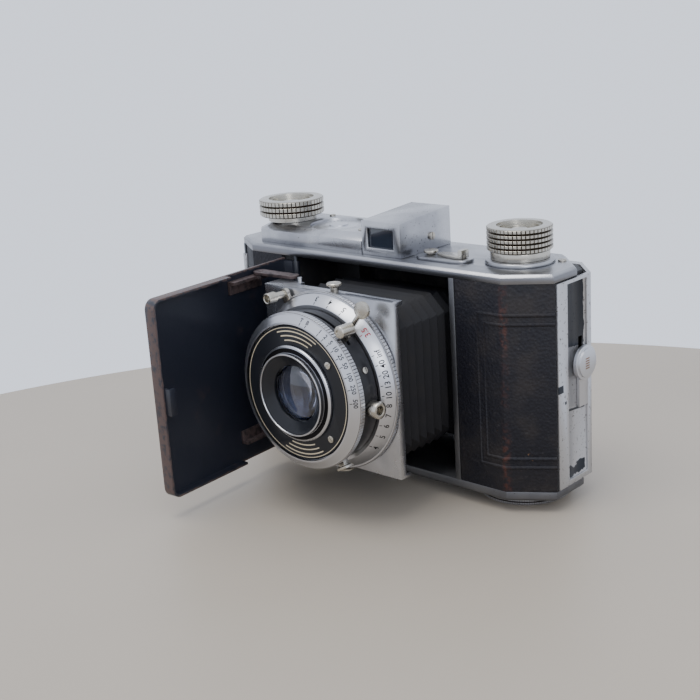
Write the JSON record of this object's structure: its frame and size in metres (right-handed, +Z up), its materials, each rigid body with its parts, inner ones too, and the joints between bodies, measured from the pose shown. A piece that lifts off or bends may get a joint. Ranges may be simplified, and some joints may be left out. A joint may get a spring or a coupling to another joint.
{
  "type": "folding bellows camera",
  "caption": "Pocket folding bellows camera for 35 mm film, lens run out on its standard, side-hinged front door, knurled wind and rewind knobs, box finder.",
  "frame": {"origin": "mouth of the tripod socket, in the bottom face of the round foot under the right end", "axes": "+X along the body towards the latch end, -Y out of the lens, +Z up through the top plate"},
  "size_m": [0.1237, 0.0941, 0.0818],
  "materials": {
    "satin_chrome": "satin plated, bright edges",
    "nickel": "warm nickel, bright",
    "black_leather": "fine-grained, worn at the corners",
    "black_enamel": "blue-black enamel, worn brown at the rims",
    "worn_enamel": "brown worn enamel",
    "casting": "matt black inside",
    "cover_metal": "bare worn metal with black paint left in the recess",
    "bellows_cloth": "matt black pleated skin",
    "lens_black": "gloss black enamel",
    "glass": "bluish, clear",
    "blade_steel": "blued thin steel",
    "trim_grey": "dull grey metal"
  },
  "bodies": {
    "body": {"body_frame": "casting", "film_gate": "casting", "top_plate": "satin_chrome", "bottom_plate": "trim_grey", "tripod_foot": "satin_chrome", "support_stud": "satin_chrome", "front_leathers": "black_leather", "opening_trim": "trim_grey", "counter_housing": "satin_chrome", "finder_housing": "satin_chrome", "finder_lenses": "glass", "rewind_boss": "satin_chrome", "top_screws": "nickel", "door_hinge_pin": "blade_steel", "cover_hinge_pin": "blade_steel", "lock_plate": "satin_chrome", "bellows": "bellows_cloth"},
    "door": {"front_door": "black_enamel", "door_leather": "black_leather", "strut_brackets": "worn_enamel", "door_catch": "nickel"},
    "upper_strut": {"upper_strut": "worn_enamel"},
    "lower_strut": {"lower_strut": "worn_enamel"},
    "standard": {"lens_board": "satin_chrome"},
    "top_fold_button": {"top_fold_button": "nickel"},
    "bottom_fold_button": {"bottom_fold_button": "nickel"},
    "focus": {"focus_ring": "satin_chrome", "focus_grip": "nickel"},
    "shutter": {"shutter_case": "lens_black", "lens_tube": "satin_chrome", "face_plate": "lens_black", "front_cell": "satin_chrome", "name_ring": "lens_black", "front_lens": "glass", "middle_lens": "glass", "rear_lens": "glass", "rear_cell": "lens_black", "iris_blades": "blade_steel", "shutter_blades": "blade_steel", "face_screws": "nickel", "release_socket": "nickel"},
    "speed_ring": {"speed_ring": "satin_chrome"},
    "aperture": {"aperture_lever": "nickel"},
    "cocking": {"cocking_lever": "nickel"},
    "release": {"release_lever": "nickel"},
    "wind": {"wind_knob": "nickel", "take_up_spool": "lens_black"},
    "counter": {"counter_dial": "satin_chrome"},
    "sprocket": {"sprocket_shaft": "nickel"},
    "rewind_sleeve": {"rewind_collar": "nickel"},
    "rewind": {"rewind_knob": "nickel", "rewind_fork": "nickel"},
    "lock_button": {"lock_button": "nickel"},
    "rewind_lever": {"rewind_lever": "nickel"},
    "back": {"back_cover": "cover_metal", "back_leather": "black_leather", "pressure_spring": "blade_steel"},
    "pressure_plate": {"pressure_plate": "casting"},
    "latch": {"back_latch": "nickel"}
  },
  "joints": [
    {"name": "door_swing", "type": "hinge", "parent": "body", "child": "door", "pos_m": [-0.0732, -0.0165, 0.03825], "axis": [0, 0, 1], "range_deg": [0, 86]},
    {"name": "standard_travel", "type": "slide", "parent": "body", "child": "standard", "axis": [0, 1, 0], "range_m": [0, 0.0425], "deforming": ["bellows"]},
    {"name": "upper_strut_fold", "type": "hinge", "parent": "door", "child": "upper_strut", "pos_m": [-0.07282, -0.03201, 0.06445], "axis": [0, 0, 1], "range_deg": [-60, 0]},
    {"name": "lower_strut_fold", "type": "hinge", "parent": "door", "child": "lower_strut", "pos_m": [-0.07282, -0.03201, 0.01205], "axis": [0, 0, 1], "range_deg": [-60, 0]},
    {"name": "top_button_press", "type": "slide", "parent": "standard", "child": "top_fold_button", "axis": [0, 0, -1], "range_m": [0, 0.0012], "stiffness_N_per_m": 400, "springref_m": -0.002},
    {"name": "bottom_button_press", "type": "slide", "parent": "standard", "child": "bottom_fold_button", "axis": [0, 0, 1], "range_m": [0, 0.0012], "stiffness_N_per_m": 400, "springref_m": -0.002},
    {"name": "focus_turn", "type": "hinge", "parent": "standard", "child": "focus", "pos_m": [-0.039, -0.0393, 0.03825], "axis": [0, -1, 0], "range_deg": [0, 180]},
    {"name": "lens_helix", "type": "slide", "parent": "standard", "child": "shutter", "axis": [0, -1, 0], "range_m": [0, 0.0026]},
    {"name": "speed_turn", "type": "hinge", "parent": "shutter", "child": "speed_ring", "pos_m": [-0.039, -0.0393, 0.03825], "axis": [0, -1, 0], "range_deg": [0, 100]},
    {"name": "aperture_turn", "type": "hinge", "parent": "shutter", "child": "aperture", "pos_m": [-0.039, -0.0393, 0.03825], "axis": [0, -1, 0], "range_deg": [0, 44]},
    {"name": "cocking_turn", "type": "hinge", "parent": "shutter", "child": "cocking", "pos_m": [-0.039, -0.0393, 0.03825], "axis": [0, -1, 0], "range_deg": [0, 35], "stiffness_Nm_per_rad": 0.02, "springref_deg": -17.19},
    {"name": "release_turn", "type": "hinge", "parent": "shutter", "child": "release", "pos_m": [-0.039, -0.0393, 0.03825], "axis": [0, 1, 0], "range_deg": [0, 9], "stiffness_Nm_per_rad": 0.03, "springref_deg": -5.73},
    {"name": "wind_turn", "type": "hinge", "parent": "body", "child": "wind", "pos_m": [-0.0865, -0.0034, 0.0747], "axis": [0, 0, 1], "continuous": true},
    {"name": "counter_turn", "type": "hinge", "parent": "body", "child": "counter", "pos_m": [-0.067, -0.0025, 0.0747], "axis": [0, 0, 1], "continuous": true},
    {"name": "sprocket_turn", "type": "hinge", "parent": "body", "child": "sprocket", "pos_m": [-0.0693, 0.0082, 0.03825], "axis": [0, 0, 1], "continuous": true},
    {"name": "rewind_lift", "type": "slide", "parent": "body", "child": "rewind_sleeve", "axis": [0, 0, 1], "range_m": [0, 0.008]},
    {"name": "rewind_turn", "type": "hinge", "parent": "rewind_sleeve", "child": "rewind", "pos_m": [0.0002, -0.0005, 0.069], "axis": [0, 0, 1], "continuous": true},
    {"name": "lock_button_press", "type": "slide", "parent": "body", "child": "lock_button", "axis": [0, 0, -1], "range_m": [0, 0.0005], "stiffness_N_per_m": 400, "springref_m": -0.001},
    {"name": "rewind_lever_turn", "type": "hinge", "parent": "body", "child": "rewind_lever", "pos_m": [-0.01555, -0.008, 0.069], "axis": [0, 0, 1], "range_deg": [0, 25]},
    {"name": "back_swing", "type": "hinge", "parent": "body", "child": "back", "pos_m": [-0.10275, -0.0102, 0.03825], "axis": [0, 0, 1], "range_deg": [0, 110]},
    {"name": "pressure_plate_press", "type": "slide", "parent": "back", "child": "pressure_plate", "axis": [0, 1, 0], "range_m": [-0.0001, 0.0001], "stiffness_N_per_m": 500, "deforming": ["pressure_spring"]},
    {"name": "latch_slide", "type": "slide", "parent": "back", "child": "latch", "axis": [0, 0, 1], "range_m": [0, 0.004], "stiffness_N_per_m": 150, "springref_m": -0.003}
  ],
  "couplings": [
    {"joint": "standard_travel", "follows": "door_swing", "m_per_rad": 0.028315},
    {"joint": "upper_strut_fold", "follows": "door_swing", "ratio": -0.69767},
    {"joint": "lower_strut_fold", "follows": "door_swing", "ratio": -0.69767},
    {"joint": "lens_helix", "follows": "focus_turn", "m_per_rad": 0.0008276},
    {"joint": "counter_turn", "follows": "wind_turn", "ratio": -0.03},
    {"joint": "sprocket_turn", "follows": "wind_turn", "ratio": 1.1}
  ]
}
